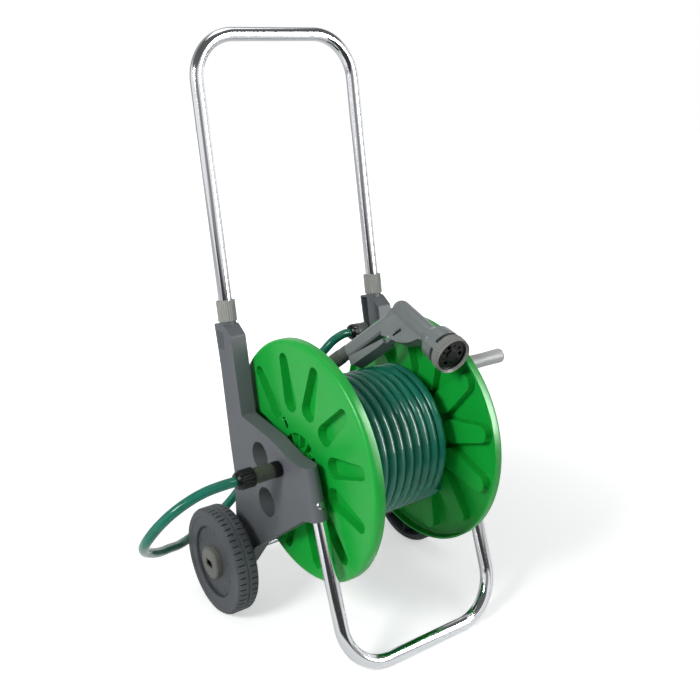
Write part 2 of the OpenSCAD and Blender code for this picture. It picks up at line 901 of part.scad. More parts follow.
// Crank
module crank_shaft() {
    color(grey)
        translate(reel_c)
            difference() {
                union() {
                    rod_x(flange_x - eye_t - 6, arm_x, shaft_r);
                    translate([arm_x - tiny, -6, -6])
                        cube([crank_t - 4, 12, 12]);
                    rod_x(flange_x - eye_t - 6, flange_x - eye_t - fit, shaft_r + 6);
                }
                rod_x(arm_x - 20, arm_x + 40, 2.6);
            }
}

// Puts children at the knob's axis
module at_knob() {
    translate(reel_c)
        rotate([crank_turn, 0, 0])
            translate([0, 0, crank_r])
                children();
}

module crank_arm() {
    arm_r = 12.5;
    color(grey)
        difference() {
            union() {
                translate(reel_c)
                    rotate([crank_turn, 0, 0]) {
                        rod_x(arm_x, arm_x + crank_t, 17);
                        translate([arm_x, 0, 0])
                            rotate([90, 0, 90])
                                linear_extrude(crank_t)
                                    polygon([[-15, 8], [15, 8], [arm_r - 1.5, crank_r], [1.5 - arm_r, crank_r]]);
                    }
                at_knob()
                    rod_x(arm_x, arm_x + crank_t, arm_r);
            }
            translate(reel_c) {
                translate([arm_x - 1, -6 - fit, -6 - fit])
                    cube([crank_t - 3 + fit, 12 + 2 * fit, 12 + 2 * fit]);
                rod_x(arm_x, arm_x + crank_t + 1, 2.8);
                rod_x(arm_x + crank_t - 2, arm_x + crank_t + 1, 6);
            }
            translate(reel_c)
                rotate([crank_turn, 0, 0])
                    translate([arm_x + crank_t - 3, 0, 0])
                        rotate([90, 0, 90])
                            linear_extrude(4)
                                polygon([[-7, 26], [7, 26], [5, crank_r - 22], [-5, crank_r - 22]]);
            at_knob()
                rod_x(arm_x - 1, arm_x + crank_t + 1, 4);
        }
}

module crank_screw() {
    color(steel)
        translate(reel_c) {
            rod_x(arm_x - 14, arm_x + crank_t - 1.9, 2.5);
            difference() {
                rod_x(arm_x + crank_t - 2, arm_x + crank_t + 0.5, 5.5);
                translate([arm_x + crank_t - 0.7, -4, -0.6])
                    cube([3, 8, 1.2]);
            }
        }
}

module knob_pin() {
    color(steel)
        at_knob() {
            rod_x(arm_x + 2, knob_tip - 8, 4 - tiny);
            rod_x(knob_tip - 8.5, knob_tip - 5, 6);
        }
}

module crank_knob() {
    r = knob_d / 2;
    color(light)
        at_knob()
            translate([knob_x, 0, 0])
                rotate([0, 90, 0])
                    difference() {
                        rotate_extrude()
                            polygon([[0, 0], [r - 1, 0], [r, 1], [r - 0.6, knob_l / 2], [r, knob_l - 2], [r - 0.6, knob_l - 0.6],
                                [r - 2, knob_l], [0, knob_l]]);
                        translate([0, 0, -1])
                            cylinder(r = 4 + run, h = knob_l - 7);
                        translate([0, 0, knob_l - 8.8])
                            cylinder(r = 6 + soft, h = 4.2);
                    }
}

// Inlet connector on the spigot, drawn along -X
ring_x0 = panel_out + 1.6;
ring_l = 11.5;
release_travel = 4;
body_end = panel_out + 49;
nut_l = 29;
nut_end = body_end + nut_l;
neck_r = 10.4;
module inlet_connector() {
    color(light)
        translate(reel_c)
            mirror([1, 0, 0])
                difference() {
                    union() {
                        rod_x(ring_x0 + 0.4, body_end, neck_r);
                        rod_x(ring_x0 + ring_l + release_travel + 0.5, body_end - 1, 12.6);
                        rod_x(body_end - 12, body_end - 9, 13.1);
                    }
                    rod_x(panel_out, spigot_x + fit, spigot_r + fit);
                    rod_x(panel_out, body_end + 1, 4.5);
                }
}

module inlet_release_ring() {
    color(black)
        translate(reel_c)
            mirror([1, 0, 0])
                translate([ring_x0, 0, 0])
                    rotate([90, 0, 90])
                        difference() {
                            linear_extrude(ring_l)
                                polygon(ribbed(12.9, 18, 0.9));
                            translate([0, 0, -1])
                                cylinder(r = neck_r + fit, h = ring_l + 2);
                        }
}

// Hose nut along +Z, the hose leaves at its far end
module hose_nut(r, l) {
    difference() {
        union() {
            linear_extrude(l - 7)
                polygon(ribbed(r, 20, 0.9));
            translate([0, 0, l - 7.01])
                rotate_extrude()
                    polygon([[0, 0], [r - 1, 0], [r - 1.4, 3], [r - 4.2, 7.01], [0, 7.01]]);
        }
        translate([0, 0, -1])
            cylinder(r = neck_r - 2, h = l - 6);
    }
}

module inlet_nut() {
    color(black)
        translate(reel_c)
            translate([-body_end - fit, 0, 0])
                rotate([0, -90, 0])
                    hose_nut(15.5, nut_l - fit);
}

// Feed hose, from the inlet nut round behind the left wheel and the reel to the parked tap connector
feed_path = concat([[-nut_end, reel_c[1], reel_c[2]], [-nut_end - 24, reel_c[1], reel_c[2]]], [
    [-290, -122, 293],
    [-314, -116, 283],
    [-338, -108, 267],
    [-357, -97, 246],
    [-369, -82, 221],
    [-367, -60, 198],
    [-356, -34, 175],
    [-338, -7, 153],
    [-317, 19, 133],
    [-295, 44, 116],
    [-270, 68, 102],
    [-244, 91, 88],
    [-213, 111, 82],
    [-180, 118, 90],
    [-148, 113, 113],
    [-121, 103, 144],
    [-99, 95, 177],
    [-83, 91, 209],
    [-57, 93, 242],
    [-33, 93, 276],
    [-11, 90, 310],
    [12, 84, 341],
    [31, 74, 370],
    [49, 63, 395],
    [65, 55, 414]],
    [[tap_end - 14, tap_c[1], tap_c[2]], [tap_end, tap_c[1], tap_c[2]]]);

module feed_hose() {
    color(hose_green)
        swept(feed_path, hose_d / 2, 8);
}

// Tap connector parked on the right arm's lug
module tap_connector() {
    color(light)
        translate(tap_c)
            difference() {
                union() {
                    rod_x(tap_body_x, panel_in - soft, 14);
                    rod_x(tap_body_x + 4, tap_body_x + 8, 14.4);
                }
                rod_x(panel_in - lug_reach - soft, panel_in + 5, lug_d / 2 + fit);
                rod_x(tap_body_x - 1, panel_in, 4.5);
            }
}

module tap_nut() {
    color(black)
        translate(tap_c)
            translate([tap_body_x - fit, 0, 0])
                rotate([0, -90, 0])
                    difference() {
                        union() {
                            linear_extrude(8)
                                polygon(ribbed(14.6, 20, 0.9));
                            translate([0, 0, 8 - tiny])
                                rotate_extrude()
                                    polygon([[0, 0], [13.8, 0], [13.2, 2.4], [10.6, 5 - fit + tiny], [0, 5 - fit + tiny]]);
                        }
                        translate([0, 0, -1])
                            cylinder(r = 6, h = 9);
                    }
}

// Spray gun. Local X points along the barrel to the front, local Z up, the grip hangs down and back

module gun_place() {
    translate(gun_joint)
        rotate([gun_roll, gun_dip, gun_yaw])
            children();
}

// A point of the grip's axis in the cart's frame, s from the joint
function turn_x(v, a) = [v[0], v[1] * cos(a) - v[2] * sin(a), v[1] * sin(a) + v[2] * cos(a)];
function turn_y(v, a) = [v[0] * cos(a) + v[2] * sin(a), v[1], v[2] * cos(a) - v[0] * sin(a)];
function turn_z(v, a) = [v[0] * cos(a) - v[1] * sin(a), v[0] * sin(a) + v[1] * cos(a), v[2]];
function gun_at(s) = gun_joint
    + turn_z(turn_y(turn_x(-s * [sin(grip_turn), 0, cos(grip_turn)], gun_roll), gun_dip), gun_yaw);

// Along the grip: +Z runs down the grip's axis and +X to its front
module on_grip(s = 0) {
    rotate([0, 180 + grip_turn, 0])
        mirror([1, 0, 0])
            translate([0, 0, s])
                children();
}

// Extrudes an outline of local [x, z] points to both sides of the gun's middle
module gun_plate(pts, half) {
    rotate([90, 0, 0])
        translate([0, 0, -half])
            linear_extrude(2 * half)
                polygon(pts);
}

// Outline given on the grip as [s, p]: s down the grip, p to its front
function on_side(s, p) = [-s * sin(grip_turn) + p * cos(grip_turn), -s * cos(grip_turn) - p * sin(grip_turn)];

bell_l = 46;
bell_x = dial_x - bell_l;
latch = [26, -31];
pivot = on_side(36, 33);
grip_half = 9.8;
web_half = 11.5;
module gun_body() {
    color(gun_grey)
        gun_place()
            difference() {
                union() {
                    rotate([0, 90, 0])
                        rotate_extrude()
                            polygon(concat([[0, -20]], [for (a = [15:15:90]) [barrel_r * sin(a), -barrel_r * cos(a) - 20 + barrel_r]],
                                [[barrel_r, bell_x], [0, bell_x]]));
                    gun_plate([[-13, -4], [78, -4], [78, -13], [70, -15], [64, -24], [57, -31], [48, -37], [36, -43],
                        on_side(41, 29), on_side(48, 22), on_side(40, 0), on_side(14, -11)], web_half);
                    hull() {
                        on_grip(12)
                            cylinder(r = grip_d / 2, h = grip_l - 12, $fn = 32);
                        gun_plate([on_side(20, 0), on_side(20, 16), on_side(grip_l, 16), on_side(grip_l, 0)], grip_half - 3);
                        gun_plate([on_side(20, 0), on_side(20, 13), on_side(grip_l, 13), on_side(grip_l, 0)], grip_half);
                    }
                }
                rotate([0, 90, 0])
                    translate([0, 0, -6])
                        cylinder(r = 11, h = 100);
                on_grip(20)
                    cylinder(r = 6, h = 90);
                on_grip(grip_l - 16)
                    cylinder(r = 7.5 + fit, h = 20);
                gun_plate([on_side(26, 24), on_side(26, 48), on_side(58, 48), on_side(58, 24)], 6.6);
                translate([pivot[0], 0, pivot[1]])
                    rotate([90, 0, 0])
                        translate([0, 0, -20])
                            cylinder(r = 2, h = 40);
                translate([latch[0], 0, latch[1]])
                    rotate([0, 180 + grip_turn, 0])
                        translate([-2, -20, -9])
                            cube([4, 40, 18]);
            }
}

module gun_bell() {
    color(gun_grey)
        gun_place()
            difference() {
                rotate([0, 90, 0])
                    rotate_extrude()
                        polygon([[11, bell_x + fit], [barrel_r + 0.5, bell_x + fit], [21, bell_x + 8], [dial_r - 3, bell_x + 17],
                            [dial_r - 1.4, bell_x + 34], [dial_r - 1.4, dial_x - soft], [drum_r + soft, dial_x - soft],
                            [drum_r + soft, bell_x + 22], [11, bell_x + 15]]);
                for (a = [43, 163, 283])
                    rotate([a, 0, 0])
                        rotate([0, 90, 0])
                            translate([0, 0, dial_x - 6])
                                rotate_extrude(angle = 98)
                                    translate([drum_r - 1, 0])
                                        square([dial_r, 10]);
            }
}

module pattern_ring() {
    color(light)
        gun_place()
            rotate([0, 90, 0])
                difference() {
                    union() {
                        translate([0, 0, dial_x])
                            cylinder(r = dial_r - 1, h = dial_w);
                        translate([0, 0, dial_x + 2])
                            linear_extrude(dial_w - 7)
                                polygon(ribbed(dial_r, dial_ribs, 1));
                    }
                    translate([0, 0, dial_x - 1])
                        cylinder(r = drum_r + fit, h = dial_w);
                    translate([0, 0, barrel_l - 9 - fit])
                        cylinder(r = face_r + fit, h = 6);
                    translate([0, 0, barrel_l - 4])
                        cylinder(r1 = face_r + fit, r2 = dial_r - 1.6, h = 4 + tiny);
                }
}

// Black face with its spray openings
module pattern_face() {
    color(black)
        gun_place()
            rotate([0, 90, 0])
                difference() {
                    union() {
                        translate([0, 0, bell_x + 24])
                            cylinder(r = drum_r, h = barrel_l - bell_x - 28);
                        translate([0, 0, barrel_l - 9])
                            cylinder(r = face_r, h = 5);
                    }
                    translate([0, 0, barrel_l - 6])
                        difference() {
                            cylinder(r = face_r - 2, h = 3);
                            cylinder(r = 9, h = 3);
                        }
                    for (i = [0:8])
                        rotate([0, 0, 40 * i])
                            translate([16, 0, barrel_l - 16])
                                cylinder(r = i % 3 == 0 ? 3.6 : i % 3 == 1 ? 2.4 : 1.6, h = 20);
                    for (i = [0:5])
                        rotate([0, 0, 60 * i])
                            translate([5, 0, barrel_l - 16])
                                cylinder(r = 1, h = 20);
                    translate([0, 0, bell_x + 20])
                        cylinder(r = drum_r - 3, h = 14);
                }
}

// Trigger: a channel that closes over the front of the grip
trig_end = grip_l - 3;
module trigger() {
    color(gun_grey)
        gun_place()
            difference() {
                union() {
                    gun_plate([on_side(46, 30), on_side(trig_end - 3, 19), on_side(trig_end, 21), on_side(trig_end, 34),
                        on_side(trig_end - 4, 38), on_side(60, 39), on_side(46, 38)], 12.8);
                    gun_plate([on_side(32, 29), on_side(50, 29), on_side(50, 38), on_side(40, 38), on_side(32, 36)], 6.3);
                }
                gun_plate([on_side(52, 0), on_side(trig_end + 2, 0), on_side(trig_end + 2, 22), on_side(trig_end - 4, 33),
                    on_side(64, 35), on_side(52, 32)], grip_half + 0.5);
                translate([pivot[0], 0, pivot[1]])
                    rotate([90, 0, 0])
                        translate([0, 0, -20])
                            cylinder(r = 2 + run, h = 40);
            }
}

module trigger_pin() {
    color(steel)
        gun_place()
            translate([pivot[0], 0, pivot[1]])
                rotate([90, 0, 0])
                    translate([0, 0, -web_half])
                        cylinder(r = 2, h = 2 * web_half);
}

module trigger_latch() {
    color(black)
        gun_place()
            translate([latch[0], 0, latch[1]])
                rotate([0, 180 + grip_turn, 0])
                    translate([-2 + fit, -web_half - 1.4, -9 + fit])
                        cube([4 - 2 * fit, 2 * web_half + 2.8, 11]);
}

module gun_plug() {
    color(light)
        gun_place()
            on_grip(0)
                difference() {
                    translate([0, 0, grip_l - 15])
                        union() {
                            cylinder(r = 7.5, h = 30);
                            translate([0, 0, 15 + fit])
                                cylinder(r = 9, h = 2);
                        }
                    cylinder(r = 4, h = 200);
                }
}

module valve_stem() {
    color(steel)
        gun_place()
            rod_x(-5.9, bell_x, 2.5);
}

// Hose connector and nut on the gun's plug; they stay with the hose
module lead_connector() {
    color(light)
        gun_place()
            on_grip(grip_l + 2 * fit)
                difference() {
                    union() {
                        cylinder(r = 12.2, h = 18 - 2 * fit);
                        translate([0, 0, 4])
                            cylinder(r = 12.6, h = 9);
                    }
                    translate([0, 0, -1])
                        cylinder(r = 9 + fit, h = 3.2 + fit);
                    translate([0, 0, -1])
                        cylinder(r = 7.5 + fit, h = 16.4);
                    translate([0, 0, -1])
                        cylinder(r = 4, h = 30);
                }
}

module lead_nut() {
    color(grey)
        gun_place()
            on_grip(grip_l + 18 + fit)
                hose_nut(13.2, lead_end_s - grip_l - 18 - fit);
}

// The whole cart
translate([org_x, org_y, 0]) {
    left_panel();
    right_panel();
    handle_tube();
    left_collar();
    right_collar();
    collets();
    stand_tube();
    stand_screws();
    axle();
    axle_spacers();
    axle_push_nuts();
    left_wheel();
    right_wheel();
    left_hub_cap();
    right_hub_cap();
    bearing_bushes();
    thrust_washers();
    left_flange();
    right_flange();
    drum_core();
    hose_inner_layers();
    wound_hose();
    hose_lead();
    lead_connector();
    lead_nut();
    water_elbow();
    inner_tail();
    crank_shaft();
    crank_arm();
    crank_screw();
    knob_pin();
    crank_knob();
    inlet_connector();
    inlet_release_ring();
    inlet_nut();
    feed_hose();
    tap_nut();
    tap_connector();
    gun_body();
    gun_bell();
    pattern_ring();
    pattern_face();
    trigger();
    trigger_pin();
    trigger_latch();
    gun_plug();
    valve_stem();
}
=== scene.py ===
"""Looks of the garden hose reel cart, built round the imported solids."""
import json
import math
import bpy
import bmesh
from mathutils import Euler, Matrix, Vector


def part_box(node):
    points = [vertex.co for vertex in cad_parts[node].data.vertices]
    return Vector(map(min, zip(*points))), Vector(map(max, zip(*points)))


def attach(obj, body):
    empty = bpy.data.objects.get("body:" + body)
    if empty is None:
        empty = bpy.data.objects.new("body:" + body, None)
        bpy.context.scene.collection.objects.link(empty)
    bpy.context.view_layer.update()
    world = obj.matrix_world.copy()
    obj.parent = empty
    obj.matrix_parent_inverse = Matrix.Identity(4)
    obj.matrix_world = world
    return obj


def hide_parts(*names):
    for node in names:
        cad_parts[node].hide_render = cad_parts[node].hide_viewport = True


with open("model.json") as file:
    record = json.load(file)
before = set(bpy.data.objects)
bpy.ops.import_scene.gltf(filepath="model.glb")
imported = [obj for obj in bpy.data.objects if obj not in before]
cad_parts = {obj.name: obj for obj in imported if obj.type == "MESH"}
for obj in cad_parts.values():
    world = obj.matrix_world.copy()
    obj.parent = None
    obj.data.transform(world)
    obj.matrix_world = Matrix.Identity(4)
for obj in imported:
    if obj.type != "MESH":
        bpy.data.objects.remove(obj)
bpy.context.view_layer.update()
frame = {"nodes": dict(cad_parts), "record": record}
nodes = frame["nodes"]
body_of = {n: body for body, names in frame["record"]["behaviour"]["bodies"].items() for n in names}

# Places, the same as in the part's source, in millimetres from the axle and the reel's middle
ORIGIN = Vector((sum(c[0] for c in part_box("handle_tube")), sum(c[1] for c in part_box("axle")), 0)) * 500
REEL_Y, REEL_Z = -125.3, 297
HOSE_D = 16
GUN_JOINT = Vector((86, -117.2, 505.7))
GUN_TURN = Euler([math.radians(a) for a in (-29.8, 16.3, -94.3)], "XYZ").to_matrix()
GRIP_TURN = math.radians(24.5)
LEAD_END = 170


def cart(x, y, z):
    """A point of the cart in the scene's metres."""
    return (Vector((x, y, z)) + ORIGIN) / 1000


def gun_at(s):
    """A point of the grip's axis, s from its joint with the barrel."""
    along = Vector((-math.sin(GRIP_TURN), 0, -math.cos(GRIP_TURN))) * s
    return (GUN_JOINT + GUN_TURN @ along + ORIGIN) / 1000


def keep(name, data):
    """A new object in the scene."""
    made = bpy.data.objects.new(name, data)
    bpy.context.scene.collection.objects.link(made)
    return made


# Camera
CAMERA_PLACE = (-833.7, -1242.3, 923)
CAMERA_LOOK = Vector((0.555, 0.769, -0.3165)).normalized()
CAMERA_ROLL = math.radians(-0.25)
CAMERA_LENS, CAMERA_SENSOR = 47.45, 36


def add_camera():
    """The photograph's camera, solved from the cart's straight tubes and round wheels."""
    data = bpy.data.cameras.new("camera")
    data.sensor_width = CAMERA_SENSOR
    data.lens = CAMERA_LENS
    camera = keep("camera", data)
    camera.location = cart(*CAMERA_PLACE)
    turn = CAMERA_LOOK.to_track_quat("-Z", "Y").to_matrix() @ Matrix.Rotation(CAMERA_ROLL, 3, "Z")
    camera.rotation_euler = turn.to_euler()
    bpy.context.scene.camera = camera


add_camera()


# Cords and the winding, with the hose's turns counted from the outer layer's end
WIND_R, WIND_TURNS, WIND_PITCH, WIND_END = 111.5, 10.25, 16.6, -52
INNER_R, INNER_TURNS, INNER_PITCH, INNER_START = WIND_R - 14.6, 10.4, -WIND_PITCH * 1.02, 88
DEEP_R, DEEP_TURNS, DEEP_START = WIND_R - 29.6, 10.2, -85
TURN_STEPS = 60


def smooth_path(points, steps):
    """Catmull-Rom line through the points."""
    ends = [2 * points[0] - points[1]] + points + [2 * points[-1] - points[-2]]
    line = []
    for a, b, c, d in zip(ends, ends[1:], ends[2:], ends[3:]):
        for i in range(steps):
            t = i / steps
            line.append(0.5 * (2 * b + (c - a) * t + (2 * a - 5 * b + 4 * c - d) * t ** 2
                               + (3 * b - a - 3 * c + d) * t ** 3))
    return line + [points[-1]]


def tube(name, line, sides=4):
    """A round hose along a line, as a mesh with its own UV map."""
    curve = bpy.data.curves.new(name + "_line", "CURVE")
    curve.dimensions = "3D"
    curve.twist_mode = "MINIMUM"
    curve.bevel_depth = HOSE_D / 2000
    curve.bevel_resolution = sides
    curve.use_fill_caps = True
    spline = curve.splines.new("POLY")
    spline.points.add(len(line) - 1)
    for point, place in zip(spline.points, line):
        point.co = (*place, 1)
    holder = keep(name + "_line", curve)
    mesh = bpy.data.meshes.new_from_object(holder.evaluated_get(bpy.context.evaluated_depsgraph_get()))
    bpy.data.objects.remove(holder)
    mesh.name = name
    for face in mesh.polygons:
        face.use_smooth = True
    return keep(name, mesh)


def length_of(line):
    """The length of a line of points, in metres."""
    return sum((b - a).length for a, b in zip(line, line[1:]))


def wind_layer(radius, start, pitch, count):
    """The first points of a layer that starts at that place along the reel."""
    line = []
    for i in range(count):
        turn = i / TURN_STEPS
        angle = math.radians(WIND_END - 360 * turn)
        y, z = REEL_Y + radius * math.cos(angle), REEL_Z + radius * math.sin(angle)
        line.append(cart(start + pitch * turn, y, z))
    return line


feed_line = smooth_path([cart(*p) for p in (
    (-241, REEL_Y, REEL_Z), (-265, REEL_Y, REEL_Z), (-290, -122, 293), (-314, -116, 283), (-338, -108, 267),
    (-357, -97, 246), (-369, -82, 221), (-367, -60, 198), (-356, -34, 175), (-338, -7, 153), (-317, 19, 133),
    (-295, 44, 116), (-270, 68, 102), (-244, 91, 88), (-213, 111, 82), (-180, 118, 90),
    (-148, 113, 113), (-121, 103, 144), (-99, 95, 177), (-83, 91, 209), (-57, 93, 242),
    (-33, 93, 276), (-11, 90, 310), (12, 84, 341), (31, 74, 370), (49, 63, 395), (65, 55, 414),
    (86, 52.9762, 423), (100, 52.9762, 423))], 6)
lead_line = smooth_path([cart(*p) for p in (
    (-85.075, -44.0456, 218.987), (-85, -21, 237), (-84, 1, 256), (-77, 21, 286), (-60, 33, 319),
    (-34, 35, 349), (-9, 24, 370))] + [gun_at(LEAD_END + 16), gun_at(LEAD_END)], 8)
outer_line = [lead_line[0]] + wind_layer(WIND_R, -WIND_TURNS * WIND_PITCH / 2, WIND_PITCH,
                                         int(WIND_TURNS * TURN_STEPS) + 1)
inner_line = wind_layer(INNER_R, INNER_START, INNER_PITCH, int(INNER_TURNS * TURN_STEPS))
deep_line = wind_layer(DEEP_R, DEEP_START, WIND_PITCH, int(DEEP_TURNS * TURN_STEPS))

feed_hose = tube("feed_hose_braided", feed_line, sides=6)
lead_hose = tube("hose_lead_braided", lead_line, sides=6)
wound = tube("wound_hose_braided", outer_line, sides=6)
inner_layer = tube("inner_hose_layer", inner_line)
deep_layer = tube("deep_hose_layer", deep_line)

for piece, node in ((feed_hose, "feed_hose"), (lead_hose, "hose_lead"), (wound, "wound_hose"),
                    (inner_layer, "hose_inner_layers")):
    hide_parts(node)
    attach(piece, body_of[node])
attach(deep_layer, body_of["hose_inner_layers"])


# Shader building
def srgb(red, green, blue):
    """A colour given as it looks on screen, from 0 to 255."""
    parts = [c / 255 for c in (red, green, blue)]
    return tuple(c / 12.92 if c < 0.0404 else ((c + 0.055) / 1.055) ** 2.4 for c in parts) + (1,)


def add(tree, kind, values=None, **settings):
    """A shader node with its settings, and its sockets set or linked."""
    made = tree.nodes.new("ShaderNode" + kind)
    for key, value in settings.items():
        setattr(made, key, value)
    for socket, value in (values or {}).items():
        if isinstance(value, bpy.types.NodeSocket):
            tree.links.new(value, made.inputs[socket])
        else:
            made.inputs[socket].default_value = value
    return made


def maths(tree, operation, a, b):
    """The result of a sum in the shader."""
    return add(tree, "Math", {0: a, 1: b}, operation=operation).outputs[0]


def mixed(tree, factor, a, b):
    """A blend of two colours."""
    return add(tree, "Mix", {0: factor, 6: a, 7: b}, data_type="RGBA").outputs[2]


def group(name, inputs, outputs, build):
    """A shader node group with named sockets."""
    tree = bpy.data.node_groups.new(name, "ShaderNodeTree")
    for socket, kind, value in inputs:
        made = tree.interface.new_socket(name=socket, in_out="INPUT", socket_type="NodeSocket" + kind)
        made.default_value = value
    for socket, kind in outputs:
        tree.interface.new_socket(name=socket, in_out="OUTPUT", socket_type="NodeSocket" + kind)
    results = build(tree, tree.nodes.new("NodeGroupInput").outputs)
    end = tree.nodes.new("NodeGroupOutput")
    for socket, value in results.items():
        tree.links.new(value, end.inputs[socket])
    return tree


def build_moulded(tree, given):
    """A moulded or drawn surface: a slow change of shade, a fine grain and softened edges."""
    place = add(tree, "TexCoord").outputs["Object"]
    broad = add(tree, "TexNoise", {"Vector": place, "Scale": 14, "Detail": 3}).outputs["Fac"]
    grain = add(tree, "TexNoise", {"Vector": place, "Scale": given["Grain"], "Detail": 2}).outputs["Fac"]
    swing = maths(tree, "MULTIPLY", maths(tree, "SUBTRACT", broad, 0.5), given["Shade"])
    bright = maths(tree, "ADD", 1.0, swing)
    colour = add(tree, "HueSaturation", {"Value": bright, "Color": given["Color"]}).outputs[0]
    uneven = maths(tree, "MULTIPLY", maths(tree, "SUBTRACT", grain, 0.5), 0.16)
    rough = maths(tree, "ADD", given["Roughness"], uneven)
    soft = add(tree, "Bevel", {"Radius": given["Edge"]}, samples=4).outputs[0]
    bump = add(tree, "Bump", {"Strength": 1.0, "Distance": given["Depth"], "Height": grain, "Normal": soft})
    return {"Color": colour, "Roughness": rough, "Normal": bump.outputs[0]}


moulded = group("moulded_surface",
                (("Color", "Color", (0.5, 0.5, 0.5, 1)), ("Roughness", "Float", 0.4), ("Shade", "Float", 0.3),
                 ("Grain", "Float", 900.0), ("Depth", "Float", 0.00004), ("Edge", "Float", 0.0006)),
                (("Color", "Color"), ("Roughness", "Float"), ("Normal", "Vector")), build_moulded)


def build_braid(tree, given):
    """Two crossing rows of threads on a tube's own map."""
    uv = add(tree, "SeparateXYZ", {0: add(tree, "UVMap", uv_map="UVMap").outputs[0]})
    around = maths(tree, "MULTIPLY", uv.outputs[0], given["Around"])
    along = maths(tree, "MULTIPLY", uv.outputs[1], given["Along"])
    lines = []
    for way in ("ADD", "SUBTRACT"):
        wave = maths(tree, "PINGPONG", maths(tree, way, along, around), 0.5)
        lines.append(maths(tree, "MINIMUM", maths(tree, "MULTIPLY", wave, 5.0), 1.0))
    weave = maths(tree, "MULTIPLY", lines[0], lines[1])
    return {"Thread": maths(tree, "SUBTRACT", 1.0, weave)}


braid = group("hose_braid", (("Along", "Float", 100.0), ("Around", "Float", 12.0)), (("Thread", "Float"),),
              build_braid)
BRAID_PER_METRE, BRAID_AROUND = 310, 16


def material(name):
    """A new material, its tree and its main shader."""
    made = bpy.data.materials.new(name)
    made.use_nodes = True
    return made, made.node_tree, made.node_tree.nodes["Principled BSDF"]


def plastic(name, colour, roughness, shade=0.25, grain=900, depth=0.00004, edge=0.0006, specular=0.3):
    """A material of the moulded surface, in an on-screen colour."""
    made, tree, shader = material(name)
    surface = add(tree, "Group", node_tree=moulded)
    for socket, value in (("Color", srgb(*colour)), ("Roughness", roughness), ("Shade", shade),
                          ("Grain", grain), ("Depth", depth), ("Edge", edge)):
        surface.inputs[socket].default_value = value
    tree.links.new(surface.outputs["Color"], shader.inputs["Base Color"])
    tree.links.new(surface.outputs["Roughness"], shader.inputs["Roughness"])
    tree.links.new(surface.outputs["Normal"], shader.inputs["Normal"])
    shader.inputs["Specular IOR Level"].default_value = specular
    return made


def metal(name, colour, roughness):
    """The same surface, smoother and in metal."""
    made = plastic(name, colour, roughness, shade=0.1, grain=300, depth=0.000004, edge=0.0003)
    made.node_tree.nodes["Principled BSDF"].inputs["Metallic"].default_value = 1
    return made


def hose_skin(name, line):
    """Braid under a clear, shiny skin, with the threads spaced by the line's length."""
    made, tree, shader = material(name)
    threads = add(tree, "Group", node_tree=braid)
    threads.inputs["Along"].default_value = round(length_of(line) * BRAID_PER_METRE)
    threads.inputs["Around"].default_value = BRAID_AROUND
    place = add(tree, "TexCoord").outputs["Object"]
    cloud = add(tree, "TexNoise", {"Vector": place, "Scale": 40, "Detail": 3}).outputs["Fac"]
    body = mixed(tree, cloud, srgb(0, 84, 64), srgb(0, 120, 98))
    colour = mixed(tree, maths(tree, "MULTIPLY", threads.outputs[0], 0.35), body, srgb(20, 160, 132))
    tree.links.new(colour, shader.inputs["Base Color"])
    bump = add(tree, "Bump", {"Distance": 0.0001, "Height": threads.outputs[0], "Strength": 0.5})
    tree.links.new(bump.outputs[0], shader.inputs["Normal"])
    shader.inputs["Roughness"].default_value = 0.5
    shader.inputs["Specular IOR Level"].default_value = 0.2
    shader.inputs["Coat Weight"].default_value = 1
    shader.inputs["Coat Roughness"].default_value = 0.09
    shader.inputs["Coat IOR"].default_value = 1.36
    return made


for piece, line in ((feed_hose, feed_line), (lead_hose, lead_line), (wound, outer_line),
                    (inner_layer, inner_line), (deep_layer, deep_line)):
    piece.data.materials.append(hose_skin(piece.name + "_skin", line))

chrome = metal("chrome", (226, 228, 231), 0.09)
zinc = metal("zinc_plated_steel", (176, 178, 180), 0.3)
frame_plastic = plastic("frame_plastic", (99, 103, 107), 0.5, grain=1100, depth=0.00006)
wheel_plastic = plastic("wheel_plastic", (82, 86, 89), 0.55, depth=0.00006)
collar_plastic = plastic("collar_plastic", (152, 153, 148), 0.48)
cap_plastic = plastic("cap_plastic", (112, 113, 106), 0.45)
flange_plastic = plastic("flange_plastic", (20, 172, 60), 0.32, shade=0.2, grain=500, depth=0.00002,
                         edge=0.0009, specular=0.42)
black_plastic = plastic("black_plastic", (14, 14, 16), 0.3)
gun_plastic = plastic("gun_plastic", (116, 123, 123), 0.3, specular=0.6)
dial_plastic = plastic("dial_plastic", (132, 133, 129), 0.4)
knob_plastic = plastic("knob_plastic", (204, 205, 203), 0.34)
connector_plastic = plastic("connector_plastic", (100, 105, 100), 0.36)
inlet_plastic = plastic("inlet_plastic", (70, 74, 66), 0.3, shade=0.5)

FINISH = {
    chrome: ("handle_tube", "stand_tube"),
    zinc: ("stand_screws", "axle", "axle_push_nuts", "crank_screw", "knob_pin", "trigger_pin", "valve_stem"),
    frame_plastic: ("left_panel", "right_panel", "crank_arm", "crank_shaft", "axle_spacers"),
    wheel_plastic: ("left_wheel", "right_wheel"),
    collar_plastic: ("left_collar", "right_collar"),
    cap_plastic: ("left_hub_cap", "right_hub_cap"),
    flange_plastic: ("left_flange", "right_flange", "drum_core"),
    black_plastic: ("collets", "bearing_bushes", "thrust_washers", "inlet_nut", "inlet_release_ring",
                    "tap_nut", "pattern_face", "trigger_latch"),
    gun_plastic: ("gun_body", "gun_bell", "trigger"),
    dial_plastic: ("pattern_ring",),
    knob_plastic: ("crank_knob",),
    inlet_plastic: ("inlet_connector",),
    connector_plastic: ("tap_connector", "lead_connector", "lead_nut", "gun_plug", "water_elbow",
                        "inner_tail"),
}
WELD_REACH, CREASE_ANGLE = 0.00002, math.radians(26)
